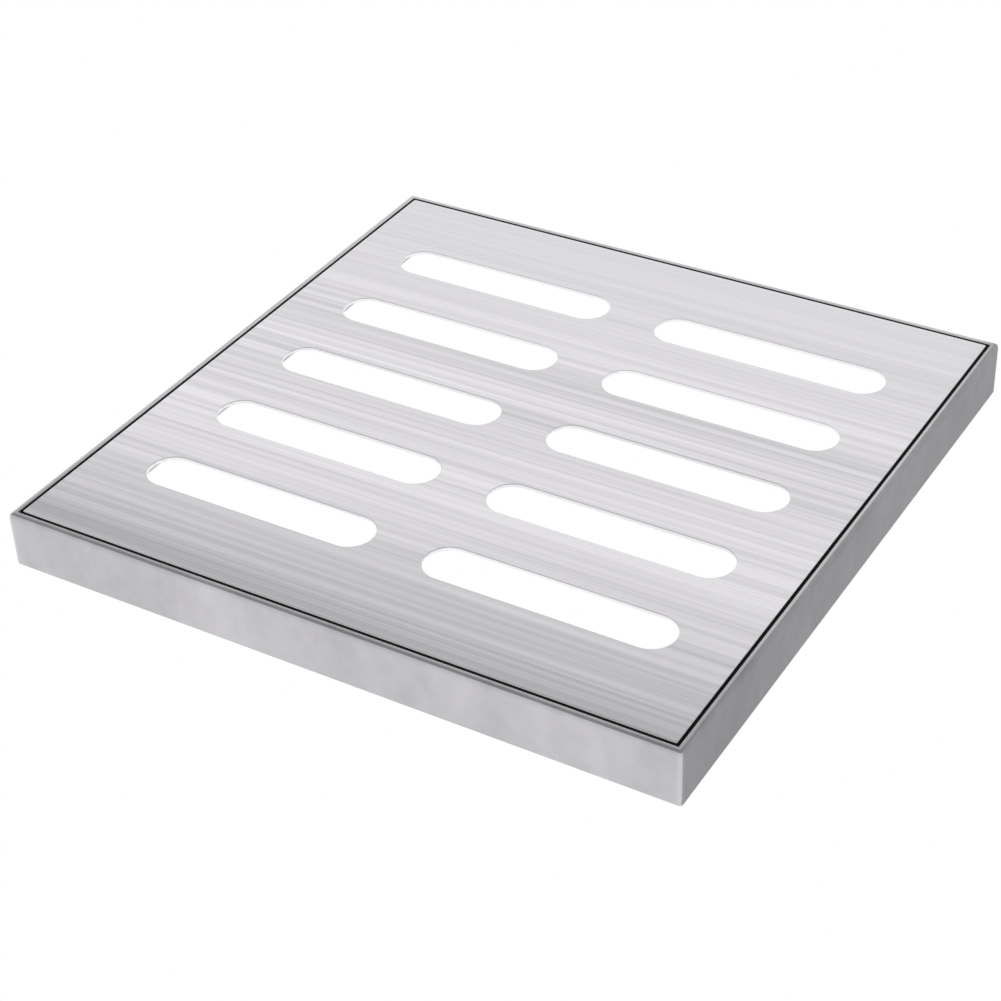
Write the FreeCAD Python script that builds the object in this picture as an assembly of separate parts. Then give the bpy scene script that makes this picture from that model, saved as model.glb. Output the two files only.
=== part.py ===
"""Flush floor drain grate: a slotted stainless cover plate in a square angle frame.

The frame is four mitred lengths of angle, welded at the corners, with the ledge turned in.
Rubber cushions lie on the ledge, and rubber strips stand on them and line the wall. The cover
is a plate with ten slots, stiffened below by a skirt, four cross ribs and a spine, and it lifts
straight out.

Millimetres. +Z is up, X runs along the slots, and the origin is the centre of the frame's
underside, which is bedded on the floor around the drain.
"""
import os

import FreeCAD
import Part

# Frame: folded angle, upright leg outside, ledge turned in.
FRAME_SIDE = 300.0
FRAME_HEIGHT = 25.0
STEEL = 3.0
LEDGE_LEG = 8.0
CORNER_RADIUS = 1.5
RIM_OUTER_RADIUS = 1.8
RIM_INNER_BREAK = 0.3
HEEL_RADIUS = 1.0
ROOT_RADIUS = 2.0
TOE_BREAK = 0.5
CORNER_WELD = 3.0

# Gap between the frame's wall and the cover plate, all round.
COVER_GAP = 1.3

# Gasket: a cushion on the ledge, and a thin strip that stands on it against the wall.
CUSHION = 4.0
CUSHION_WIDTH = 5.0
CUSHION_HEEL_RELIEF = 2.2
CUSHION_EDGE_BREAK = 0.6
STRIP = 1.0
STRIP_BELOW_RIM = 0.2

# Cover plate and its slots.
PLATE = 1.5
SLOT_LENGTH = 107.5
SLOT_WIDTH = 20.5
SLOT_ROW_PITCH = 47.75
SLOT_COLUMN_X = 66.0
SLOT_ROWS = 5
PLATE_CORNER_RADIUS = 0.6
PLATE_EDGE_BREAK = 0.3

# Stiffeners under the plate: flat bars on edge.
BAR = 3.0
SKIRT_SETBACK = 0.5
RIB_DEPTH = 8.0
LAP_CLEARANCE = 0.1

# Stitch welds: fillets of this leg.
WELD_LEG = 2.2
STITCH_LENGTH = 16.0
SPINE_STITCH_LENGTH = 12.0

# Stitches lie this far either side of each slot column's centre.
STITCH_OFFSET = 32.0

# Worked-out sizes.
HALF = FRAME_SIDE / 2
WALL_INNER = HALF - STEEL
LEDGE_INNER = HALF - LEDGE_LEG
PLATE_HALF = WALL_INNER - COVER_GAP
PLATE_UNDERSIDE = FRAME_HEIGHT - PLATE
CUSHION_TOP = STEEL + CUSHION
SKIRT_OUTER = PLATE_HALF - SKIRT_SETBACK
SKIRT_INNER = SKIRT_OUTER - BAR
RIB_BOTTOM = PLATE_UNDERSIDE - RIB_DEPTH
RIB_MIDDLE = PLATE_UNDERSIDE - RIB_DEPTH / 2
ROW_CENTRES = [(row - (SLOT_ROWS - 1) / 2) * SLOT_ROW_PITCH for row in range(SLOT_ROWS)]
RIB_CENTRES = [y + SLOT_ROW_PITCH / 2 for y in ROW_CENTRES[:-1]]
COLUMN_CENTRES = (-SLOT_COLUMN_X, SLOT_COLUMN_X)
STITCH_XS = [column + step for column in COLUMN_CENTRES for step in (-STITCH_OFFSET, STITCH_OFFSET)]

# Each side is the front one (at -Y) turned this far about Z.
SIDES = {"front": 0, "right": 90, "back": 180, "left": 270}
Z_AXIS = FreeCAD.Vector(0, 0, 1)
TINY = 1e-6


# ---- shape helpers ----


def block(x, y, z):
    """A box from its (low, high) pairs."""
    size = [high - low for low, high in (x, y, z)]
    return Part.makeBox(*size, FreeCAD.Vector(x[0], y[0], z[0]))


def square(half, z, radius=0.0):
    """A square prism about the Z axis, with its upright corners rounded."""
    body = block((-half, half), (-half, half), z)
    if radius:
        body = body.makeFillet(radius, [edge for edge in body.Edges if is_upright(edge)])
    return body


def square_ring(outer_half, inner_half, z, radius=0.0):
    """A square tube about the Z axis."""
    through = (z[0] - 1, z[1] + 1)
    return square(outer_half, z, radius).cut(square(inner_half, through))


def prism(points, sweep):
    """A polygon swept along a vector."""
    corners = [FreeCAD.Vector(*p) for p in points]
    outline = Part.makePolygon(corners + corners[:1])
    return Part.Face(outline).extrude(FreeCAD.Vector(*sweep))


def turned(shape, degrees):
    """A copy of the shape, turned about the Z axis."""
    copy = shape.copy()
    copy.rotate(FreeCAD.Vector(0, 0, 0), Z_AXIS, degrees)
    return copy


def is_upright(edge):
    """True for an edge that runs along Z."""
    start, end = edge.Vertexes[0].Point, edge.Vertexes[-1].Point
    return abs(start.x - end.x) < TINY and abs(start.y - end.y) < TINY


def level_edges(shape, z, low=0.0, high=HALF * 2):
    """The edges that lie at height z, no nearer the Z axis than low and no further than high.

    Distance is measured square to the sides, so a whole side counts as equally far out.
    """
    found = []
    for edge in shape.Edges:
        box = edge.BoundBox
        reach = max(abs(box.XMin), abs(box.XMax), abs(box.YMin), abs(box.YMax))
        if abs(box.ZMin - z) < TINY and abs(box.ZMax - z) < TINY and low <= reach <= high:
            found.append(edge)
    return found


def side_wedge(degrees):
    """The quarter of all space nearest one side, cut on the diagonals."""
    reach = FRAME_SIDE
    points = [(0, 0, -reach), (-reach, -reach, -reach), (reach, -reach, -reach)]
    return turned(prism(points, (0, 0, 2 * reach)), degrees)


def save(name, shape):
    """Writes one node, after checking that it is sound."""
    shape = shape.removeSplitter() if len(shape.Solids) == 1 else shape
    for solid in shape.Solids:
        if not solid.isValid() or solid.Volume <= 0:
            raise ValueError(f"{name} holds a bad solid")
    shape.exportStep(f"parts/{name}.step")
    print(f"{name}: {len(shape.Solids)} solid(s), {shape.Volume:.1f} mm3")


# ---- frame ----


def frame_ring():
    """The whole angle frame as one ring, with its rolled and ground edges."""
    wall = square_ring(HALF, WALL_INNER, (0, FRAME_HEIGHT), CORNER_RADIUS)
    ledge = square_ring(WALL_INNER + 1, LEDGE_INNER, (0, STEEL))
    ring = wall.fuse(ledge).removeSplitter()
    ring = ring.makeFillet(RIM_OUTER_RADIUS, level_edges(ring, FRAME_HEIGHT, WALL_INNER + 1))
    ring = ring.makeFillet(HEEL_RADIUS, level_edges(ring, 0, WALL_INNER))
    ring = ring.makeChamfer(RIM_INNER_BREAK, level_edges(ring, FRAME_HEIGHT, 0, WALL_INNER + TINY))
    ring = ring.makeChamfer(TOE_BREAK, level_edges(ring, STEEL, 0, LEDGE_INNER + TINY))
    return ring.makeFillet(ROOT_RADIUS, level_edges(ring, STEEL, WALL_INNER - 1))


def corner_grooves():
    """The space at each outside corner that the weld fills: the mitre's bevelled edge."""
    inner = HALF - CORNER_WELD
    points = [(inner, -HALF, -1), (HALF, -inner, -1), (HALF + 1, -HALF - 1, -1)]
    groove = prism(points, (0, 0, FRAME_HEIGHT + 2))
    return Part.makeCompound([turned(groove, degrees) for degrees in SIDES.values()])


def build_frame():
    """Four mitred rails and the ground corner welds between them."""
    ring = frame_ring()
    grooves = corner_grooves()
    rails = ring.cut(grooves)
    for side, degrees in SIDES.items():
        save(f"frame_rail_{side}", rails.common(side_wedge(degrees)))
    save("frame_corner_welds", ring.common(grooves))


# ---- gasket ----


def build_gasket():
    """Rubber: cushions on the ledge and strips up the wall, mitred at the corners."""
    inner = WALL_INNER - CUSHION_WIDTH
    cushion = square_ring(WALL_INNER, inner, (STEEL, CUSHION_TOP))
    cushion = cushion.makeChamfer(CUSHION_HEEL_RELIEF, level_edges(cushion, STEEL, WALL_INNER - 1))
    cushion = cushion.makeChamfer(CUSHION_EDGE_BREAK, level_edges(cushion, CUSHION_TOP, 0, inner + TINY))
    strip = square_ring(WALL_INNER, WALL_INNER - STRIP, (CUSHION_TOP, FRAME_HEIGHT - STRIP_BELOW_RIM))
    for side, degrees in SIDES.items():
        wedge = side_wedge(degrees)
        save(f"gasket_cushion_{side}", cushion.common(wedge))
        save(f"gasket_strip_{side}", strip.common(wedge))


# ---- cover ----


def slot_prism(x, y):
    """A round-ended slot right through the plate, centred at (x, y)."""
    z = (PLATE_UNDERSIDE - 1, FRAME_HEIGHT + 1)
    straight = SLOT_LENGTH / 2 - SLOT_WIDTH / 2
    body = block((x - straight, x + straight), (y - SLOT_WIDTH / 2, y + SLOT_WIDTH / 2), z)
    for end in (-straight, straight):
        base = FreeCAD.Vector(x + end, y, z[0])
        body = body.fuse(Part.makeCylinder(SLOT_WIDTH / 2, z[1] - z[0], base))
    return body.removeSplitter()


def build_plate():
    """The walked-on plate, with every top edge broken."""
    plate = square(PLATE_HALF, (PLATE_UNDERSIDE, FRAME_HEIGHT), PLATE_CORNER_RADIUS)
    for column in COLUMN_CENTRES:
        for row in ROW_CENTRES:
            plate = plate.cut(slot_prism(column, row))
    save("cover_plate", plate.makeFillet(PLATE_EDGE_BREAK, level_edges(plate, FRAME_HEIGHT)))


def build_skirt():
    """Bars on edge that stand on the cushions. Front and back run through, the others butt."""
    z = (CUSHION_TOP, PLATE_UNDERSIDE)
    depth = (-SKIRT_OUTER, -SKIRT_INNER)
    for side, degrees in SIDES.items():
        reach = SKIRT_OUTER if side in ("front", "back") else SKIRT_INNER
        save(f"skirt_{side}", turned(block((-reach, reach), depth, z), degrees))


def build_ribs():
    """Four cross ribs and the spine, half-lapped where they cross."""
    half = BAR / 2
    notch = half + LAP_CLEARANCE
    length = (-SKIRT_INNER, SKIRT_INNER)
    depth = (RIB_BOTTOM, PLATE_UNDERSIDE)
    spine = block((-half, half), length, depth)
    for number, y in enumerate(RIB_CENTRES, start=1):
        rib = block(length, (y - half, y + half), depth)
        lower_notch = block((-notch, notch), (y - BAR, y + BAR), (RIB_BOTTOM - 1, RIB_MIDDLE))
        save(f"cross_rib_{number}", rib.cut(lower_notch))
        upper_notch = block((-BAR, BAR), (y - notch, y + notch), (RIB_MIDDLE, FRAME_HEIGHT))
        spine = spine.cut(upper_notch)
    save("centre_spine", spine)


# ---- welds under the cover ----


def stitch_x(x, y, facing, length=STITCH_LENGTH):
    """A fillet under the plate, along a bar that runs in X with its face at y."""
    start, top = x - length / 2, PLATE_UNDERSIDE
    out = y + facing * WELD_LEG
    return prism([(start, y, top), (start, out, top), (start, y, top - WELD_LEG)], (length, 0, 0))


def stitch_y(x, y, facing, length=STITCH_LENGTH):
    """The same along a bar that runs in Y with its face at x."""
    start, top = y - length / 2, PLATE_UNDERSIDE
    out = x + facing * WELD_LEG
    return prism([(x, start, top), (out, start, top), (x, start, top - WELD_LEG)], (0, length, 0))


def end_weld(x, y, toward_x, toward_y, z):
    """An upright fillet in the corner between two bars, at (x, y)."""
    points = [(x, y, z[0]), (x + toward_x * WELD_LEG, y, z[0]), (x, y + toward_y * WELD_LEG, z[0])]
    return prism(points, (0, 0, z[1] - z[0]))


def build_welds():
    """Stitches on alternate sides of each bar, and uprights where the bars meet."""
    face = BAR / 2
    upright = (RIB_BOTTOM, PLATE_UNDERSIDE - WELD_LEG)
    ribs, spine, skirt = [], [], []

    for rib, y in enumerate(RIB_CENTRES):
        for place, x in enumerate(STITCH_XS):
            facing = 1 if (rib + place) % 2 else -1
            ribs.append(stitch_x(x, y + facing * face, facing))
        for end in (-1, 1):
            ribs.append(end_weld(end * SKIRT_INNER, y + end * face, -end, end, upright))

    for row, y in enumerate(ROW_CENTRES):
        facing = 1 if row % 2 else -1
        spine.append(stitch_y(facing * face, y, facing, SPINE_STITCH_LENGTH))
    for end in (-1, 1):
        spine.append(end_weld(face, end * SKIRT_INNER, 1, -end, upright))

    for end in (-1, 1):
        for x in STITCH_XS:
            skirt.append(stitch_x(x, end * SKIRT_INNER, -end))
        for y in ROW_CENTRES[::2]:
            skirt.append(stitch_y(end * SKIRT_INNER, y, -end))
        for across in (-1, 1):
            corner = (CUSHION_TOP, PLATE_UNDERSIDE)
            skirt.append(end_weld(across * SKIRT_INNER, end * SKIRT_INNER, -across, -end, corner))

    for name, beads in (("rib_welds", ribs), ("spine_welds", spine), ("skirt_welds", skirt)):
        save(name, Part.makeCompound(beads))


def main():
    os.makedirs("parts", exist_ok=True)
    build_frame()
    build_gasket()
    build_plate()
    build_skirt()
    build_ribs()
    build_welds()


main()
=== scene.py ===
"""Floor drain grate: a brushed, slotted cover plate in a square angle frame, on black rubber.

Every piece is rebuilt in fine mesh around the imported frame, with ground and rounded edges and
real weld beads. Each piece has a UV map named "grain", in metres, whose U runs along the metal's
grain. Lengths are in metres, angles in degrees, and lights are given as radiance.
"""
import math
import random

import bmesh
import bpy
from mathutils import Matrix, Vector


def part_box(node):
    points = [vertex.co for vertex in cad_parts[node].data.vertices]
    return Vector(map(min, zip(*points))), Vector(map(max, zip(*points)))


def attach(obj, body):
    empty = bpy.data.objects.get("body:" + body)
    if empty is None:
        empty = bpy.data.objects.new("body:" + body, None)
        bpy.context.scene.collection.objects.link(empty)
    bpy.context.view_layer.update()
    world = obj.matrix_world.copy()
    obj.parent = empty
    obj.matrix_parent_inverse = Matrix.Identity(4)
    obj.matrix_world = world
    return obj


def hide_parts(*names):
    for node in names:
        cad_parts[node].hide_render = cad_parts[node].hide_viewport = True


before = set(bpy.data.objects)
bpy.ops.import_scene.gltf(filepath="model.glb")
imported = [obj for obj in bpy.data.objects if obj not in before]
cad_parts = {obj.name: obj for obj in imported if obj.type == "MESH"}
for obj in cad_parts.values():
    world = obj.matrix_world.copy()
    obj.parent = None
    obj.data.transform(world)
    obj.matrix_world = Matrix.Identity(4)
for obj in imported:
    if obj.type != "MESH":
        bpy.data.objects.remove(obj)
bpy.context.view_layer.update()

MM = 0.001
SHARP_ANGLE = 30
# A face counts as upright when its normal's Z is under this.
UPRIGHT_LIMIT = 0.7

# ---- sizes, from the frame where it gives them ----

rail_low, rail_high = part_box("frame_rail_front")
cushion_low, cushion_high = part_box("gasket_cushion_front")
strip_low, strip_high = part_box("gasket_strip_front")
plate_low, plate_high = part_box("cover_plate")
skirt_low, skirt_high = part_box("skirt_front")
rib_low, rib_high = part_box("cross_rib_1")
corner_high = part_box("frame_corner_welds")[1]

HALF = corner_high.x
HEIGHT = corner_high.z
LEDGE_WIDTH = rail_high.y - rail_low.y
STEEL = 3 * MM
CORNER_WELD = 2 * (HALF - rail_high.x)
CORNER_RADIUS = 1.5 * MM
CORNER_STEPS = 8
CORNER_FLAT = CORNER_WELD - CORNER_RADIUS
CORNER_BEND = CORNER_RADIUS * math.pi / 2
# How far the painted highlight down the outer corner fades out at each side.
CORNER_FADE = 0.6 * CORNER_FLAT

# The rim is level inside, then ground to a slope, and the wall leans in a little under it.
RIM_SLOPE_WIDTH = 1.1 * MM
RIM_SLOPE_DROP = 0.4 * MM
RIM_SLOPE_TOP_RADIUS = 1.2 * MM
RIM_SLOPE_EDGE_RADIUS = 0.35 * MM
RIM_LEAN = 0.55 * MM
RIM_LEAN_HEIGHT = 1.4 * MM
RIM_LEAN_RADIUS = 3 * MM
RIM_INNER_RADIUS = 0.3 * MM

HEEL_RADIUS = 1.0 * MM
ROOT_RADIUS = 2.0 * MM
TOE_RADIUS = 0.5 * MM

CUSHION_WIDTH = cushion_high.y - cushion_low.y
CUSHION_TOP = cushion_high.z
CUSHION_HEEL_RELIEF = 2.2 * MM
CUSHION_NOSE_RADIUS = 0.6 * MM
CUSHION_TOE_RADIUS = 0.3 * MM
STRIP = strip_high.y - strip_low.y
STRIP_TOP = strip_high.z
STRIP_RADIUS = 0.35 * STRIP

PLATE_HALF = plate_high.x
PLATE_TOP = plate_high.z
PLATE_UNDERSIDE = plate_low.z
PLATE_CORNER_RADIUS = 0.6 * MM
PLATE_EDGE_RADIUS = 0.3 * MM
PLATE_BURR_RADIUS = 0.12 * MM
SLOT_END_STEPS = 36
SLOT_LENGTH = 107.5 * MM
SLOT_WIDTH = 20.5 * MM
SLOT_COLUMN_X = 66 * MM
SLOT_ROW_PITCH = 47.75 * MM
SLOT_ROWS = 5

BAR = skirt_high.y - skirt_low.y
SKIRT_INNER = rib_high.x
SKIRT_OUTER = skirt_high.x
RIB_BOTTOM = rib_low.z
RIB_MIDDLE = (RIB_BOTTOM + PLATE_UNDERSIDE) / 2
LAP_CLEARANCE = 0.1 * MM
BAR_EDGE = 0.25 * MM

WELD_LEG = 2.2 * MM
WELD_RIPPLE = 1.2 * MM
RIPPLE_STEPS = 8
RIPPLE_TROUGH = 0.90
RIPPLE_CREST = 0.98
RIPPLE_BOW = 0.45 * WELD_RIPPLE
BEAD_STEPS = 12
BEAD_FLATNESS = 0.22
BEAD_END_SIZE = 0.08
POOL_SIZES = (0.95, 1.03)
POOL_SEED = 5
STITCH_LENGTH = 16 * MM
SPINE_STITCH_LENGTH = 12 * MM
STITCH_OFFSET = 32 * MM

ROW_CENTRES = [(row - (SLOT_ROWS - 1) / 2) * SLOT_ROW_PITCH for row in range(SLOT_ROWS)]
RIB_CENTRES = [y + SLOT_ROW_PITCH / 2 for y in ROW_CENTRES[:-1]]
COLUMN_CENTRES = (-SLOT_COLUMN_X, SLOT_COLUMN_X)
STITCH_XS = [column + step for column in COLUMN_CENTRES for step in (-STITCH_OFFSET, STITCH_OFFSET)]

# Each side is the front one turned this far about Z.
SIDES = {"front": 0, "right": 90, "back": 180, "left": 270}

# ---- camera ----

CAMERA_TARGET = Vector((19.0 * MM, -50.7 * MM, HEIGHT))
CAMERA_DISTANCE = 0.913
CAMERA_AZIMUTH = 32.1
CAMERA_ELEVATION = 35.5
CAMERA_ROLL = -2.5
CAMERA_LENS = 83.1
CAMERA_SENSOR = 36.0
CAMERA_CLIP = (0.05, 50.0)

# ---- light, as radiance ----

FLOOR_GLOW = 1.0
FLOOR_REACH = 6.0
FLOOR_GAP = 0.05 * MM
ROOM_GLOW = 0.8
CEILING_GLOW = 0.36
CEILING_TILT = 0.35
CEILING_START = 0.55
CEILING_FULL = 0.80

# Softboxes stand in a row behind the grate: (name, left, right, bottom, top, radiance).
SOFTBOX_Y = 0.20
SOFTBOX_TOP = 0.34
SOFTBOXES = (
    ("softbox_low", -1.0, 0.13, 0.0, 0.20, 1.10),
    ("softbox_high", -1.0, 0.13, 0.20, SOFTBOX_TOP, 1.30),
    ("softbox_dim", 0.13, 1.2, 0.0, SOFTBOX_TOP, 0.55),
)
SOFTBOX_DEPTH = 1 * MM
GREY_CARD_REACH = 1.2
GREY_CARD_HEIGHT = 0.5 * MM
GREY_CARD_GLOW = 0.50


# ---- mesh helpers ----


def arc(centre, radius, start, end, steps=6):
    """Points along an arc, from start to end degrees, both included."""
    turns = [math.radians(start + (end - start) * i / steps) for i in range(steps + 1)]
    return [(centre[0] + radius * math.cos(t), centre[1] + radius * math.sin(t)) for t in turns]


def finish_piece(name, mesh, body, nodes, material, degrees=0):
    """Turns a bmesh into a piece of the model that stands for the CAD nodes."""
    bmesh.ops.recalc_face_normals(mesh, faces=mesh.faces)
    if mesh.calc_volume(signed=True) < 0:
        bmesh.ops.reverse_faces(mesh, faces=mesh.faces)
    bmesh.ops.rotate(mesh, verts=mesh.verts, matrix=Matrix.Rotation(math.radians(degrees), 3, "Z"))
    data = bpy.data.meshes.new(name)
    mesh.to_mesh(data)
    mesh.free()
    piece = bpy.data.objects.new(name, data)
    bpy.context.scene.collection.objects.link(piece)
    data.materials.append(material)
    data.shade_smooth()
    data.set_sharp_from_angle(angle=math.radians(SHARP_ANGLE))
    modifier = piece.modifiers.new("even_normals", "WEIGHTED_NORMAL")
    modifier.keep_sharp = True
    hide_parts(*nodes)
    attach(piece, body)
    return piece


def grain_map(mesh, locate):
    """Fills the grain UV map: locate(corner position, face normal) gives metres along and across."""
    layer = mesh.loops.layers.uv.new("grain")
    mesh.normal_update()
    for face in mesh.faces:
        for corner in face.loops:
            corner[layer].uv = locate(corner.vert.co, face.normal)


def plate_grain(point, normal):
    """Grain along X. Across it the map unrolls over the edges, so that no face is smeared."""
    upright = abs(normal.z) < UPRIGHT_LIMIT
    return point.x, point.y + (point.z if upright else 0.0)


def swept_side(profile, end_of, splits=()):
    """The front side of a square ring: a profile of (inset, height), closed, run along X.

    end_of(inset) says how far along X the side reaches. splits are pairs of profile places
    that divide each end cap into flat faces. The grain's across is the way round the profile.
    """
    mesh = bmesh.new()
    layer = mesh.loops.layers.uv.new("grain")
    stations = [-1.0, -0.5, 0.0, 0.5, 1.0]
    rings = []
    for t in stations:
        rings.append([mesh.verts.new((t * end_of(u), -HALF + u, z)) for u, z in profile])
    around = [0.0]
    for (u0, z0), (u1, z1) in zip(profile, profile[1:] + profile[:1]):
        around.append(around[-1] + math.hypot(u1 - u0, z1 - z0))
    count = len(profile)
    for ring, following in zip(rings, rings[1:]):
        for k in range(count):
            corners = [ring[k], following[k], following[(k + 1) % count], ring[(k + 1) % count]]
            face = mesh.faces.new(corners)
            for loop, v in zip(face.loops, (around[k], around[k], around[k + 1], around[k + 1])):
                loop[layer].uv = (loop.vert.co.x, v)
    for ring in (rings[0], rings[-1]):
        cap = mesh.faces.new(ring)
        for first, second in splits:
            cap = bmesh.utils.face_split(cap, ring[first], ring[second])[0]
    return mesh


# ---- frame ----


def rounded_turn(corner, before, after, radius, steps):
    """An arc round a corner, between lines whose outward normals point along two angles."""
    tangent = radius * math.tan(math.radians((after - before) / 2))
    normal = math.radians(before)
    start = (corner[0] + tangent * math.sin(normal), corner[1] - tangent * math.cos(normal))
    centre = (start[0] - radius * math.cos(normal), start[1] - radius * math.sin(normal))
    return arc(centre, radius, before, after, steps)


def rim_slope():
    """The rim's outer part from the top down, in two stretches that meet where the corner weld ends.

    It is ground to a shallow slope, and the wall leans in a little just under it.
    """
    slope = 90 + math.degrees(math.atan2(RIM_SLOPE_DROP, RIM_SLOPE_WIDTH))
    lean = 180 - math.degrees(math.atan2(RIM_LEAN, RIM_LEAN_HEIGHT))
    brow = (RIM_LEAN, HEIGHT - RIM_SLOPE_DROP)
    past_weld = RIM_LEAN + RIM_SLOPE_WIDTH - CORNER_WELD / 2
    weld_end = (CORNER_WELD / 2, HEIGHT - past_weld * RIM_SLOPE_DROP / RIM_SLOPE_WIDTH)
    foot = (0.0, brow[1] - RIM_LEAN_HEIGHT)
    top = rounded_turn((RIM_LEAN + RIM_SLOPE_WIDTH, HEIGHT), 90, slope, RIM_SLOPE_TOP_RADIUS, 3)
    outer = [weld_end] + rounded_turn(brow, slope, lean, RIM_SLOPE_EDGE_RADIUS, 5)
    outer += rounded_turn(foot, lean, 180, RIM_LEAN_RADIUS, 3)
    return top, outer


def rail_profile():
    """The angle's section from the heel round: ledge, root, wall and rim."""
    under_split = (CORNER_WELD / 2, 0.0)
    top, outer = rim_slope()
    points = arc((HEEL_RADIUS, HEEL_RADIUS), HEEL_RADIUS, 180, 270)
    points.append(under_split)
    points += arc((LEDGE_WIDTH - RIM_INNER_RADIUS, RIM_INNER_RADIUS), RIM_INNER_RADIUS, 270, 360, 3)
    points += arc((LEDGE_WIDTH - TOE_RADIUS, STEEL - TOE_RADIUS), TOE_RADIUS, 0, 90, 4)
    points += arc((STEEL + ROOT_RADIUS, STEEL + ROOT_RADIUS), ROOT_RADIUS, 270, 180, 8)
    rim = (STEEL - RIM_INNER_RADIUS, HEIGHT - RIM_INNER_RADIUS)
    points += arc(rim, RIM_INNER_RADIUS, 0, 90, 4)
    points += top + outer
    return points, (points.index(under_split), points.index(outer[0]))


def rail(side, degrees, material):
    """One length of angle, mitred, with the outer edge of the mitre ground back for the weld."""
    profile, split = rail_profile()
    mesh = swept_side(profile, lambda u: HALF - max(u, CORNER_WELD - u), [split])
    name = f"frame_rail_{side}"
    return finish_piece(f"rail_{side}", mesh, "frame", [name], material, degrees)


def corner_weld_rows():
    """(inset, height) up the outer corner, from the underside over the wall to the rim."""
    rows = [(CORNER_WELD / 2, 0.0)]
    rows += arc((HEEL_RADIUS, HEEL_RADIUS), HEEL_RADIUS, 270, 180)
    rows += rim_slope()[1][::-1]
    return rows


def corner_welds(material):
    """The four corner welds, ground flush and rounded over with the corner.

    around is how far round the corner each point of the outline is, for the grain map.
    """
    mesh = bmesh.new()
    layer = mesh.loops.layers.uv.new("grain")
    centre = HALF - CORNER_RADIUS
    around = [0.0]
    around += [CORNER_FLAT + CORNER_BEND * i / CORNER_STEPS for i in range(CORNER_STEPS + 1)]
    around += [around[-1] + CORNER_FLAT, around[-1] + 2 * CORNER_FLAT]
    for degrees in SIDES.values():
        columns = []
        for inset, height in corner_weld_rows():
            reach = HALF - inset
            start = (HALF - CORNER_WELD + inset, -reach)
            end = (reach, -HALF + CORNER_WELD - inset)
            bend = arc((centre, -centre), max(CORNER_RADIUS - inset, 0.0), 270, 360, CORNER_STEPS)
            outline = [start] + bend + [end]
            columns.append([mesh.verts.new((x, y, height)) for x, y in outline])
        for low, high in zip(columns, columns[1:]):
            for k in range(len(low)):
                nxt = (k + 1) % len(low)
                face = mesh.faces.new([low[k], low[nxt], high[nxt], high[k]])
                for loop, step in zip(face.loops, (k, k + 1, k + 1, k)):
                    loop[layer].uv = (loop.vert.co.z, around[step])
        fresh = [v for column in columns for v in column]
        turn = Matrix.Rotation(math.radians(degrees), 3, "Z")
        bmesh.ops.rotate(mesh, verts=fresh, matrix=turn)
    bmesh.ops.remove_doubles(mesh, verts=mesh.verts, dist=1e-7)
    bmesh.ops.dissolve_degenerate(mesh, edges=mesh.edges, dist=1e-7)
    nodes = ["frame_corner_welds"]
    return finish_piece("corner_welds", mesh, "frame", nodes, material)


def gasket(side, degrees, material):
    """Rubber: a cushion on the ledge, and an edge strip that stands on it against the wall."""
    nose = STEEL + CUSHION_WIDTH
    toe = (nose - CUSHION_TOE_RADIUS, STEEL + CUSHION_TOE_RADIUS)
    cushion = [(STEEL + CUSHION_HEEL_RELIEF, STEEL)]
    cushion += arc(toe, CUSHION_TOE_RADIUS, 270, 360, 3)
    top = (nose - CUSHION_NOSE_RADIUS, CUSHION_TOP - CUSHION_NOSE_RADIUS)
    cushion += arc(top, CUSHION_NOSE_RADIUS, 0, 90, 5)
    cushion += [(STEEL, CUSHION_TOP), (STEEL, STEEL + CUSHION_HEEL_RELIEF)]
    strip = [(STEEL, CUSHION_TOP), (STEEL + STRIP, CUSHION_TOP)]
    strip += arc((STEEL + STRIP - STRIP_RADIUS, STRIP_TOP - STRIP_RADIUS), STRIP_RADIUS, 0, 90, 4)
    strip += [(STEEL, STRIP_TOP)]
    for piece, profile in (("cushion", cushion), ("strip", strip)):
        mesh = swept_side(profile, lambda u: HALF - u)
        nodes = [f"gasket_{piece}_{side}"]
        finish_piece(f"rubber_{piece}_{side}", mesh, "frame", nodes, material, degrees)


# ---- cover plate ----


def rounded_square(half, radius):
    """A square outline with rounded corners, anticlockwise."""
    inner = half - radius
    points = []
    for x, y, start in ((1, -1, 270), (1, 1, 0), (-1, 1, 90), (-1, -1, 180)):
        points += arc((x * inner, y * inner), radius, start, start + 90, 5)
    return points


def slot_outline(x, y, grow):
    """A round-ended slot's outline, grown by a margin all round."""
    radius = SLOT_WIDTH / 2 + grow
    straight = (SLOT_LENGTH - SLOT_WIDTH) / 2
    right = arc((x + straight, y), radius, -90, 90, SLOT_END_STEPS)
    left = arc((x - straight, y), radius, 90, 270, SLOT_END_STEPS)
    return right + left


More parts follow.
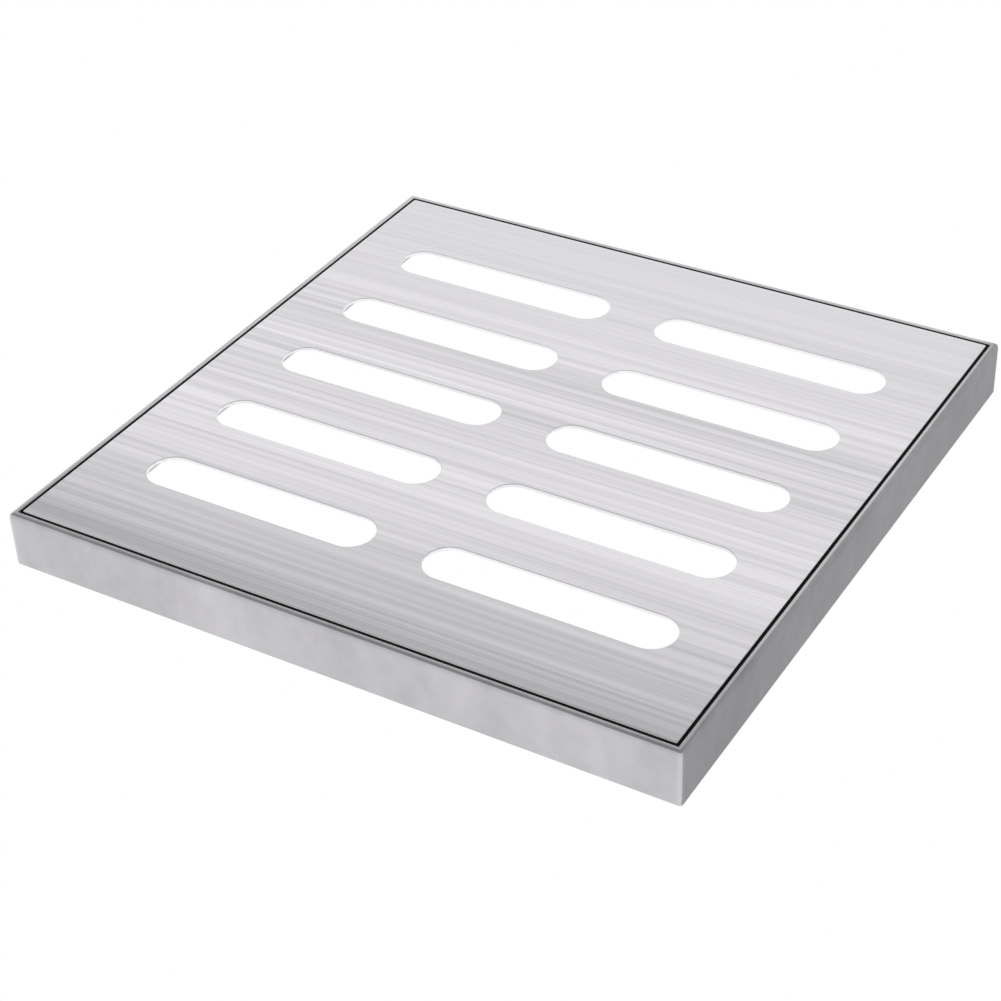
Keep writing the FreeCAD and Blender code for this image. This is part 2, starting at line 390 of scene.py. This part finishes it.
def cover_plate(material):
    """The plate with its ten slots, every edge rounded over."""
    mesh = bmesh.new()
    top = arc((0, PLATE_TOP - PLATE_EDGE_RADIUS), PLATE_EDGE_RADIUS, 90, 0, 4)
    bottom = arc((0, PLATE_UNDERSIDE + PLATE_BURR_RADIUS), PLATE_BURR_RADIUS, 0, -90, 3)
    rows = [(PLATE_EDGE_RADIUS - out, height) for out, height in top]
    rows += [(PLATE_BURR_RADIUS - out, height) for out, height in bottom]
    outlines = [lambda inset: rounded_square(PLATE_HALF - inset, PLATE_CORNER_RADIUS)]
    for x in COLUMN_CENTRES:
        for y in ROW_CENTRES:
            outlines.append(lambda inset, x=x, y=y: slot_outline(x, y, inset))
    top_edges, bottom_edges = [], []
    for outline in outlines:
        rings = []
        for inset, height in rows:
            rings.append([mesh.verts.new((px, py, height)) for px, py in outline(inset)])
        for upper, lower in zip(rings, rings[1:]):
            for k in range(len(upper)):
                nxt = (k + 1) % len(upper)
                mesh.faces.new([upper[k], upper[nxt], lower[nxt], lower[k]])
        for ring, edges in ((rings[0], top_edges), (rings[-1], bottom_edges)):
            edges += [mesh.edges.get((a, b)) for a, b in zip(ring, ring[1:] + ring[:1])]
    for edges in (top_edges, bottom_edges):
        bmesh.ops.triangle_fill(mesh, edges=edges, use_beauty=True)
    grain_map(mesh, plate_grain)
    return finish_piece("slotted_plate", mesh, "cover", ["cover_plate"], material)


# ---- stiffeners ----


def bevelled_prism(outline, low, high, place):
    """An outline of (along, up) given thickness from low to high, with its edges broken."""
    mesh = bmesh.new()
    near = [mesh.verts.new(place(a, low, z)) for a, z in outline]
    far = [mesh.verts.new(place(a, high, z)) for a, z in outline]
    mesh.faces.new(near)
    mesh.faces.new(far)
    for k in range(len(near)):
        nxt = (k + 1) % len(near)
        mesh.faces.new([near[k], near[nxt], far[nxt], far[k]])
    bmesh.ops.recalc_face_normals(mesh, faces=mesh.faces)
    sharp = math.radians(SHARP_ANGLE)
    edges = [e for e in mesh.edges if e.is_manifold and e.calc_face_angle(0) > sharp]
    bmesh.ops.bevel(mesh, geom=edges, offset=BAR_EDGE, segments=3, profile=0.5, affect="EDGES")
    return mesh


def bar_outline(reach, low, high, notches=(), from_top=False):
    """A bar's side view, with half-lap notches at the given places along it."""
    half = BAR / 2 + LAP_CLEARANCE
    edge = high if from_top else low
    cuts = []
    for place in notches:
        near, far = place - half, place + half
        cuts += [(near, edge), (near, RIB_MIDDLE), (far, RIB_MIDDLE), (far, edge)]
    if from_top:
        return [(-reach, low), (reach, low), (reach, high)] + cuts[::-1] + [(-reach, high)]
    return [(-reach, low)] + cuts + [(reach, low), (reach, high), (-reach, high)]


def along_x(a, across, z):
    return Vector((a, across, z))


def along_y(a, across, z):
    return Vector((-across, a, z))


def long_grain(axis, offset):
    """Grain along a bar that runs along the given axis (0 for X, 1 for Y).

    The offset moves the pattern across, so that the bars don't look alike.
    """

    def locate(point, normal):
        return point[axis], point[1 - axis] + point.z + offset

    return locate


def skirt(side, degrees, material):
    """A flat bar on edge under the plate's rim, which stands on the gasket."""
    reach = SKIRT_OUTER if side in ("front", "back") else SKIRT_INNER
    outline = bar_outline(reach, CUSHION_TOP, PLATE_UNDERSIDE)
    mesh = bevelled_prism(outline, -SKIRT_OUTER, -SKIRT_INNER, along_x)
    grain_map(mesh, long_grain(0, degrees * MM))
    name = f"skirt_{side}"
    return finish_piece(f"skirt_bar_{side}", mesh, "cover", [name], material, degrees)


def cross_rib(number, y, material):
    """A rib between two slot rows, notched from below where the spine crosses."""
    outline = bar_outline(SKIRT_INNER, RIB_BOTTOM, PLATE_UNDERSIDE, [0.0])
    mesh = bevelled_prism(outline, y - BAR / 2, y + BAR / 2, along_x)
    grain_map(mesh, long_grain(0, number * 31 * MM))
    name = f"cross_rib_{number}"
    return finish_piece(f"rib_bar_{number}", mesh, "cover", [name], material)


def centre_spine(material):
    """The bar between the slot columns, notched from above where the ribs cross."""
    outline = bar_outline(SKIRT_INNER, RIB_BOTTOM, PLATE_UNDERSIDE, RIB_CENTRES, from_top=True)
    mesh = bevelled_prism(outline, -BAR / 2, BAR / 2, along_y)
    grain_map(mesh, long_grain(1, 7 * MM))
    return finish_piece("spine_bar", mesh, "cover", ["centre_spine"], material)


# ---- weld beads ----


def add_bead(mesh, start, end, first, second, rng):
    """A fillet bead from start to end, in the corner between the directions first and second.

    Its ripples are the overlapping pools of a hand weld, which bow forward in the middle, and
    both its ends run out in a round nose.
    """
    layer = mesh.loops.layers.uv.get("grain") or mesh.loops.layers.uv.new("grain")
    length = (end - start).length
    direction = (end - start) / length
    ripples = max(3, round(length / WELD_RIPPLE))
    count = ripples * RIPPLE_STEPS
    sizes = [rng.uniform(*POOL_SIZES) for _ in range(ripples + 1)]
    rings = []
    for k in range(count + 1):
        pool, step = divmod(k, RIPPLE_STEPS)
        crest = math.sin(math.pi * step / RIPPLE_STEPS)
        from_end = min(k, count - k) / count * length
        run_out = math.sqrt(1.0 - (1.0 - min(from_end / WELD_LEG, 1.0)) ** 2)
        swell = RIPPLE_TROUGH + (RIPPLE_CREST - RIPPLE_TROUGH) * crest
        size = WELD_LEG * sizes[pool] * swell * max(run_out, BEAD_END_SIZE)
        base = start + direction * (k / count * length)
        ring = [base]
        for side in range(BEAD_STEPS + 1):
            angle = math.pi / 2 * side / BEAD_STEPS
            bulge = 1.0 - BEAD_FLATNESS * math.sin(2 * angle)
            lag = direction * (RIPPLE_BOW * math.cos(2 * angle) ** 2 * run_out ** 2)
            out = (first * math.cos(angle) + second * math.sin(angle)) * size * bulge
            ring.append(base + out - lag)
        rings.append([mesh.verts.new(point) for point in ring])
    sides = len(rings[0])
    for a, (ring, following) in enumerate(zip(rings, rings[1:])):
        for k in range(sides):
            nxt = (k + 1) % sides
            face = mesh.faces.new([ring[k], ring[nxt], following[nxt], following[k]])
            for loop, (i, j) in zip(face.loops, ((a, k), (a, k + 1), (a + 1, k + 1), (a + 1, k))):
                loop[layer].uv = (i * length / count, j * WELD_LEG / sides)
    mesh.faces.new(rings[0])
    mesh.faces.new(rings[-1])


def under_bead(mesh, centre, axis, facing, length, rng):
    """A bead under the plate, along a bar's face that looks along facing."""
    half = axis * (length / 2)
    middle = Vector((centre[0], centre[1], PLATE_UNDERSIDE))
    add_bead(mesh, middle - half, middle + half, facing, Vector((0, 0, -1)), rng)


def upright_bead(mesh, x, y, toward_x, toward_y, low, high, rng):
    """A bead in the upright corner between two bars."""
    first, second = Vector((toward_x, 0, 0)), Vector((0, toward_y, 0))
    add_bead(mesh, Vector((x, y, low)), Vector((x, y, high)), first, second, rng)


def weld_beads(material):
    """Stitch beads under the plate, and uprights where bars meet: one piece for each CAD node."""
    x_axis, y_axis = Vector((1, 0, 0)), Vector((0, 1, 0))
    face = BAR / 2
    rng = random.Random(POOL_SEED)
    below = PLATE_UNDERSIDE - WELD_LEG

    ribs = bmesh.new()
    for rib, y in enumerate(RIB_CENTRES):
        for place, x in enumerate(STITCH_XS):
            way = 1 if (rib + place) % 2 else -1
            under_bead(ribs, (x, y + way * face), x_axis, y_axis * way, STITCH_LENGTH, rng)
        for end in (-1, 1):
            upright_bead(ribs, end * SKIRT_INNER, y + end * face, -end, end, RIB_BOTTOM, below, rng)

    spine = bmesh.new()
    for row, y in enumerate(ROW_CENTRES):
        way = 1 if row % 2 else -1
        under_bead(spine, (way * face, y), y_axis, x_axis * way, SPINE_STITCH_LENGTH, rng)
    for end in (-1, 1):
        upright_bead(spine, face, end * SKIRT_INNER, 1, -end, RIB_BOTTOM, below, rng)

    skirts = bmesh.new()
    for end in (-1, 1):
        for x in STITCH_XS:
            under_bead(skirts, (x, end * SKIRT_INNER), x_axis, y_axis * -end, STITCH_LENGTH, rng)
        for y in ROW_CENTRES[::2]:
            under_bead(skirts, (end * SKIRT_INNER, y), y_axis, x_axis * -end, STITCH_LENGTH, rng)
        for across in (-1, 1):
            corner = (across * SKIRT_INNER, end * SKIRT_INNER, -across, -end)
            upright_bead(skirts, *corner, CUSHION_TOP, PLATE_UNDERSIDE, rng)

    for name, mesh in (("rib", ribs), ("spine", spine), ("skirt", skirts)):
        finish_piece(f"{name}_beads", mesh, "cover", [f"{name}_welds"], material)


# ---- materials ----


class Graph:
    """A material's node tree, with short calls to add nodes and join them."""

    def __init__(self, name):
        self.material = bpy.data.materials.new(name)
        self.material.use_nodes = True
        self.tree = self.material.node_tree
        self.tree.nodes.clear()
        self.output = self.add("ShaderNodeOutputMaterial")

    def add(self, kind, inputs=None, **settings):
        """Adds a node. Its inputs are plain values or other nodes' sockets."""
        node = self.tree.nodes.new(kind)
        for key, value in settings.items():
            setattr(node, key, value)
        for key, value in (inputs or {}).items():
            self.join(value, node.inputs[key])
        return node

    def join(self, value, socket):
        """Sets a socket to a plain value, or links it to another node's socket."""
        if isinstance(value, bpy.types.NodeSocket):
            self.tree.links.new(value, socket)
        else:
            socket.default_value = value

    def math(self, operation, a, b=0.0, c=0.0):
        node = self.add("ShaderNodeMath", {0: a, 1: b, 2: c}, operation=operation)
        return node.outputs[0]

    def grain(self, along, across, detail=2.0, seed=0.0, roughness=0.5):
        """Noise drawn out along the grain: along and across are its changes per metre."""
        uv = self.add("ShaderNodeUVMap", uv_map="grain").outputs[0]
        settings = {"Vector": uv, "Location": (seed, seed, seed), "Scale": (along, across, 1.0)}
        moved = self.add("ShaderNodeMapping", settings)
        settings = {"Vector": moved.outputs[0], "Scale": 1.0, "Detail": detail, "Roughness": roughness}
        return self.add("ShaderNodeTexNoise", settings).outputs[0]

    def cloud(self, scale, detail=2.0, seed=0.0, upright=1.0):
        """Noise in the object's own space, drawn out in height where upright is under 1."""
        place = self.add("ShaderNodeTexCoord").outputs["Object"]
        settings = {"Vector": place, "Location": (seed, seed, seed), "Scale": (1.0, 1.0, upright)}
        moved = self.add("ShaderNodeMapping", settings)
        settings = {"Vector": moved.outputs[0], "Scale": scale, "Detail": detail}
        return self.add("ShaderNodeTexNoise", settings).outputs[0]

    def total(self, *parts):
        """The sum of (noise - 0.5) * weight over the parts."""
        result = 0.0
        for noise, weight in parts:
            centred = self.math("SUBTRACT", noise, 0.5)
            result = self.math("MULTIPLY_ADD", centred, weight, result)
        return result

    def fade_to_back(self, least):
        """1 over the front of the plate, falling to the given least at its back edge."""
        uv = self.add("ShaderNodeUVMap", uv_map="grain").outputs[0]
        across = self.add("ShaderNodeSeparateXYZ", {"Vector": uv}).outputs[1]
        limits = {
            "Value": across,
            "From Min": BRUSHING_FADE_START,
            "From Max": HALF,
            "To Min": 1.0,
            "To Max": least,
        }
        return self.add("ShaderNodeMapRange", limits, interpolation_type="SMOOTHSTEP").outputs[0]

    def bright_edge(self, gain):
        """Painted highlight: 1 on level faces, rising by the given amount on upright ones, which are
        painted lighter as if they caught more light.
        """
        normal = self.add("ShaderNodeTexCoord").outputs["Normal"]
        up = self.add("ShaderNodeSeparateXYZ", {"Vector": normal}).outputs[2]
        level = self.math("ABSOLUTE", up)
        return self.math("MULTIPLY_ADD", level, -gain, 1.0 + gain)

    def bright_corner(self, gain):
        """Painted highlight: 1 at both sides of a corner weld, rising by the given amount down the
        rounded corner.
        """
        uv = self.add("ShaderNodeUVMap", uv_map="grain").outputs[0]
        around = self.add("ShaderNodeSeparateXYZ", {"Vector": uv}).outputs[1]
        middle = CORNER_FLAT + CORNER_BEND / 2
        from_middle = self.math("ABSOLUTE", self.math("SUBTRACT", around, middle))
        limits = {
            "Value": from_middle,
            "From Min": CORNER_BEND / 2,
            "From Max": CORNER_BEND / 2 + CORNER_FADE,
            "To Min": 1.0 + gain,
            "To Max": 1.0,
        }
        return self.add("ShaderNodeMapRange", limits).outputs[0]

    def shaded(self, colour, value):
        """A colour made lighter or darker by a factor."""
        scaled = self.add("ShaderNodeVectorMath", {0: colour, 3: value}, operation="SCALE")
        return scaled.outputs[0]

    def surface(self, settings):
        """Ends the material in one principled shader with these inputs."""
        shader = self.add("ShaderNodeBsdfPrincipled", settings)
        self.tree.links.new(shader.outputs[0], self.output.inputs[0])
        return self.material


PLATE_COLOUR = (0.640, 0.627, 0.648)
# Painted highlight: how much lighter the plate's edges and slot walls are painted than its top.
PLATE_EDGE_GAIN = 0.4
BRUSHING_AT_BACK = 0.3
BRUSHING_FADE_START = -0.1 * HALF
STEEL_COLOUR = (0.512, 0.501, 0.520)
# Painted highlight: how much lighter the frame's upright walls are painted than its level rim.
RAIL_WALL_GAIN = 0.075
# Painted highlight down the frame's outer corners.
CORNER_GAIN = 0.11
BAR_COLOUR = (0.50, 0.495, 0.49)
# Darker than black rubber is: partly the rubber's own black, partly painted shade of the gap between
# cover and frame.
RUBBER_COLOUR = (0.003, 0.003, 0.0035)


def brushed_plate():
    """Fine parallel brushing, a whole plate long, with a few stronger lines and soft bands, and a
    painted highlight on the edges and slot walls.
    """
    g = Graph("brushed_plate")
    scratch = g.grain(18, 6500, detail=2, seed=8.3)
    hair = g.grain(8, 2300, detail=1, seed=3.1)
    fine = g.grain(3.0, 820, detail=0, seed=5.9)
    lines = g.grain(2.4, 330, detail=0, seed=7.7)
    bands = g.grain(2.4, 115, detail=0, seed=1.3)
    broad = g.grain(2.0, 34, detail=0, seed=2.2)
    narrow = ((scratch, 0.24), (hair, 0.06), (fine, 0.28))
    wide = ((lines, 0.40), (bands, 0.22), (broad, 0.12))
    tone = g.total(*narrow, *wide)
    tone = g.math("MULTIPLY", tone, g.fade_to_back(BRUSHING_AT_BACK))
    # The brushing's tone plus the painted highlight on upright faces.
    colour = g.shaded(PLATE_COLOUR, g.math("ADD", tone, g.bright_edge(PLATE_EDGE_GAIN)))
    rough = g.math("ADD", g.total((fine, 0.06), (lines, 0.05)), 0.24)
    height = g.total((scratch, 0.5), (hair, 0.3), (fine, 0.4))
    bump = g.add("ShaderNodeBump", {"Height": height, "Strength": 0.2, "Distance": 0.02 * MM})
    tangent = g.add("ShaderNodeTangent", direction_type="UV_MAP", uv_map="grain")
    return g.surface({
        "Base Color": colour, "Metallic": 1.0, "Roughness": rough, "Anisotropic": 0.5,
        "Anisotropic Rotation": 0.25, "Tangent": tangent.outputs[0], "Normal": bump.outputs[0],
    })


def satin_frame(name, marks_along, marks_across, roughness, corner_gain=0.0):
    """Satin steel: faint marks on the grain, over the soft clouding of a pickled surface, with a
    painted highlight on upright walls and, when a corner amount is given, down the corner.
    """
    g = Graph(name)
    marks = g.grain(marks_along, marks_across, detail=2, seed=2.0)
    mottle = g.cloud(170, detail=3, seed=6.0, upright=0.7)
    clouds = g.cloud(42, detail=1, seed=4.0, upright=0.5)
    drift = g.cloud(13, detail=1, seed=9.0)
    tone = g.total((marks, 0.12), (mottle, 0.24), (clouds, 0.24), (drift, 0.24))
    # The clouding's tone plus the painted highlight on upright walls.
    bright = g.math("ADD", tone, g.bright_edge(RAIL_WALL_GAIN))
    # A painted highlight down the rounded corner, where one is asked for.
    if corner_gain:
        bright = g.math("MULTIPLY", bright, g.bright_corner(corner_gain))
    colour = g.shaded(STEEL_COLOUR, bright)
    rough = g.math("ADD", g.total((marks, 0.08), (clouds, 0.12)), roughness)
    height = g.total((marks, 0.4), (mottle, 0.5), (clouds, 1.0))
    bump = g.add("ShaderNodeBump", {"Height": height, "Strength": 0.2, "Distance": 0.03 * MM})
    return g.surface({
        "Base Color": colour, "Metallic": 1.0, "Roughness": rough, "Normal": bump.outputs[0],
    })


def mill_bar():
    """Cold-rolled flat bar: duller than the plate, with rolling marks along it and faint stains."""
    g = Graph("mill_bar")
    rolled = g.grain(20, 1500, detail=3, seed=6.0)
    marks = g.grain(9, 420, detail=1, seed=3.0)
    stain = g.cloud(60, detail=3, seed=2.5)
    tone = g.total((rolled, 0.22), (marks, 0.16), (stain, 0.20))
    colour = g.shaded(BAR_COLOUR, g.math("ADD", tone, 1.0))
    rough = g.math("ADD", g.total((rolled, 0.14), (stain, 0.14)), 0.40)
    bump = g.add("ShaderNodeBump", {"Height": rolled, "Strength": 0.3, "Distance": 0.03 * MM})
    return g.surface({
        "Base Color": colour, "Metallic": 1.0, "Roughness": rough, "Normal": bump.outputs[0],
    })


def weld_metal():
    """As-laid weld: bright in the middle, with straw and a thin blue heat tint at the toes."""
    g = Graph("weld_metal")
    uv = g.add("ShaderNodeUVMap", uv_map="grain").outputs[0]
    across = g.add("ShaderNodeSeparateXYZ", {"Vector": uv}).outputs[1]
    from_middle = g.math("ABSOLUTE", g.math("MULTIPLY_ADD", across, 2 / WELD_LEG, -1.0))
    heat = g.math("ADD", from_middle, g.total((g.cloud(500, detail=2, seed=1.0), 0.7)))
    ramp = g.add("ShaderNodeValToRGB", {"Fac": heat})
    stops = ramp.color_ramp.elements
    stops[0].position, stops[0].color = 0.30, (0.55, 0.54, 0.52, 1)
    stops[1].position, stops[1].color = 1.0, (0.28, 0.30, 0.40, 1)
    for position, colour in ((0.62, (0.55, 0.48, 0.36, 1)), (0.84, (0.44, 0.35, 0.30, 1))):
        stops.new(position).color = colour
    ripples = g.grain(3200, 500, detail=2, seed=4.0)
    rough = g.math("ADD", g.total((ripples, 0.2)), 0.30)
    bump = g.add("ShaderNodeBump", {"Height": ripples, "Strength": 0.3, "Distance": 0.05 * MM})
    return g.surface({
        "Base Color": ramp.outputs[0], "Metallic": 1.0, "Roughness": rough, "Normal": bump.outputs[0],
    })


def gasket_rubber():
    """Matt black extruded rubber, with a fine drawn surface, its black deepened with painted shade of
    the gap it sits in.
    """
    g = Graph("gasket_rubber")
    drawn = g.grain(60, 3000, detail=2, seed=8.0)
    dust = g.cloud(250, detail=3, seed=6.5)
    colour = g.shaded(RUBBER_COLOUR, g.math("ADD", g.total((dust, 0.8)), 1.0))
    rough = g.math("ADD", g.total((dust, 0.2)), 0.7)
    bump = g.add("ShaderNodeBump", {"Height": drawn, "Strength": 0.3, "Distance": 0.05 * MM})
    return g.surface({
        "Base Color": colour, "Roughness": rough, "Specular IOR Level": 0.12, "Normal": bump.outputs[0],
    })


# ---- stage ----


def card(name, low, high, glow, seen=True):
    """A flat sheet that lights what it faces, up or towards -Y, and is clear from its other side."""
    mesh = bmesh.new()
    if high[2] > low[2]:
        corners = [(low[0], low[1], low[2]), (high[0], low[1], low[2]), high, (low[0], low[1], high[2])]
    else:
        corners = [low, (high[0], low[1], low[2]), high, (low[0], high[1], low[2])]
    mesh.faces.new([mesh.verts.new(corner) for corner in corners])
    data = bpy.data.meshes.new(name)
    mesh.to_mesh(data)
    mesh.free()
    g = Graph(name)
    light = g.add("ShaderNodeEmission", {"Color": (1, 1, 1, 1), "Strength": glow}).outputs[0]
    clear = g.add("ShaderNodeBsdfTransparent").outputs[0]
    reverse = g.add("ShaderNodeNewGeometry").outputs["Backfacing"]
    one_sided = g.add("ShaderNodeMixShader", {0: reverse, 1: light, 2: clear}).outputs[0]
    g.tree.links.new(one_sided, g.output.inputs[0])
    data.materials.append(g.material)
    sheet = bpy.data.objects.new(name, data)
    sheet.visible_camera = seen
    bpy.context.scene.collection.objects.link(sheet)


def softbox(name, left, right, bottom, top, glow):
    """An upright rectangle of soft light that faces -Y, on a black back."""
    card(f"{name}_back", (left, SOFTBOX_Y, bottom), (right, SOFTBOX_Y, top), 0.0, seen=False)
    data = bpy.data.lights.new(name, "AREA")
    data.shape = "RECTANGLE"
    data.size, data.size_y = right - left, top - bottom
    data.energy = glow * math.pi * data.size * data.size_y
    light = bpy.data.objects.new(name, data)
    light.location = ((left + right) / 2, SOFTBOX_Y - SOFTBOX_DEPTH, (bottom + top) / 2)
    light.rotation_euler = (math.radians(-90), 0, 0)
    bpy.context.scene.collection.objects.link(light)


def make_stage():
    """A white light table, softboxes behind the grate, and a grey card on the table to its right."""
    low = (-FLOOR_REACH, -FLOOR_REACH, -FLOOR_GAP)
    card("floor", low, (FLOOR_REACH, FLOOR_REACH, -FLOOR_GAP), FLOOR_GLOW)
    low = (HALF, -HALF, GREY_CARD_HEIGHT)
    high = (GREY_CARD_REACH, SOFTBOX_Y, GREY_CARD_HEIGHT)
    card("grey_card", low, high, GREY_CARD_GLOW, seen=False)
    for settings in SOFTBOXES:
        softbox(*settings)


def make_world():
    """Studio surroundings: white to the camera, bright at eye level and darker overhead."""
    world = bpy.data.worlds.new("studio")
    bpy.context.scene.world = world
    world.use_nodes = True
    tree = world.node_tree
    tree.nodes.clear()
    output = tree.nodes.new("ShaderNodeOutputWorld")
    direction = tree.nodes.new("ShaderNodeTexCoord").outputs["Generated"]
    height = tree.nodes.new("ShaderNodeVectorMath")
    height.operation = "DOT_PRODUCT"
    height.inputs[1].default_value = (0.0, CEILING_TILT, 1.0)
    ramp = tree.nodes.new("ShaderNodeMapRange")
    ramp.interpolation_type = "SMOOTHSTEP"
    ramp.inputs["From Min"].default_value = CEILING_START
    ramp.inputs["From Max"].default_value = CEILING_FULL
    ramp.inputs["To Min"].default_value = ROOM_GLOW
    ramp.inputs["To Max"].default_value = CEILING_GLOW
    room = tree.nodes.new("ShaderNodeBackground")
    white = tree.nodes.new("ShaderNodeBackground")
    white.inputs["Color"].default_value = (1, 1, 1, 1)
    room.inputs["Color"].default_value = (1, 1, 1, 1)
    mix = tree.nodes.new("ShaderNodeMixShader")
    path = tree.nodes.new("ShaderNodeLightPath")
    tree.links.new(direction, height.inputs[0])
    tree.links.new(height.outputs["Value"], ramp.inputs["Value"])
    tree.links.new(ramp.outputs[0], room.inputs["Strength"])
    tree.links.new(path.outputs["Is Camera Ray"], mix.inputs[0])
    tree.links.new(room.outputs[0], mix.inputs[1])
    tree.links.new(white.outputs[0], mix.inputs[2])
    tree.links.new(mix.outputs[0], output.inputs[0])


def make_camera():
    """A long lens from the front right and above, rolled a little."""
    azimuth = math.radians(CAMERA_AZIMUTH)
    elevation = math.radians(CAMERA_ELEVATION)
    roll = math.radians(CAMERA_ROLL)
    flat = math.cos(elevation)
    back = Vector((math.sin(azimuth) * flat, -math.cos(azimuth) * flat, math.sin(elevation)))
    level = Vector((math.cos(azimuth), math.sin(azimuth), 0.0))
    right = level * math.cos(roll) + back.cross(level) * math.sin(roll)
    turn = Matrix((right, back.cross(right), back)).transposed().to_4x4()
    data = bpy.data.cameras.new("camera")
    data.lens = CAMERA_LENS
    data.sensor_width = CAMERA_SENSOR
    data.clip_start, data.clip_end = CAMERA_CLIP
    camera = bpy.data.objects.new("camera", data)
    camera.matrix_world = Matrix.Translation(CAMERA_TARGET + back * CAMERA_DISTANCE) @ turn
    bpy.context.scene.collection.objects.link(camera)
    bpy.context.scene.camera = camera


# ---- the grate ----


def build_grate():
    """Every piece of the frame, the gasket and the cover."""
    satin = satin_frame("satin_frame", 30, 2200, 0.36)
    # The corner welds' steel, with a painted highlight down the corner.
    ground = satin_frame("ground_weld_painted_highlight", 900, 60, 0.34, CORNER_GAIN)
    rubber, bar = gasket_rubber(), mill_bar()
    for side, degrees in SIDES.items():
        rail(side, degrees, satin)
        gasket(side, degrees, rubber)
        skirt(side, degrees, bar)
    corner_welds(ground)
    cover_plate(brushed_plate())
    for number, y in enumerate(RIB_CENTRES, start=1):
        cross_rib(number, y, bar)
    centre_spine(bar)
    weld_beads(weld_metal())


scene = bpy.context.scene
scene.view_settings.view_transform = "Standard"
make_camera()
make_world()
make_stage()
build_grate()
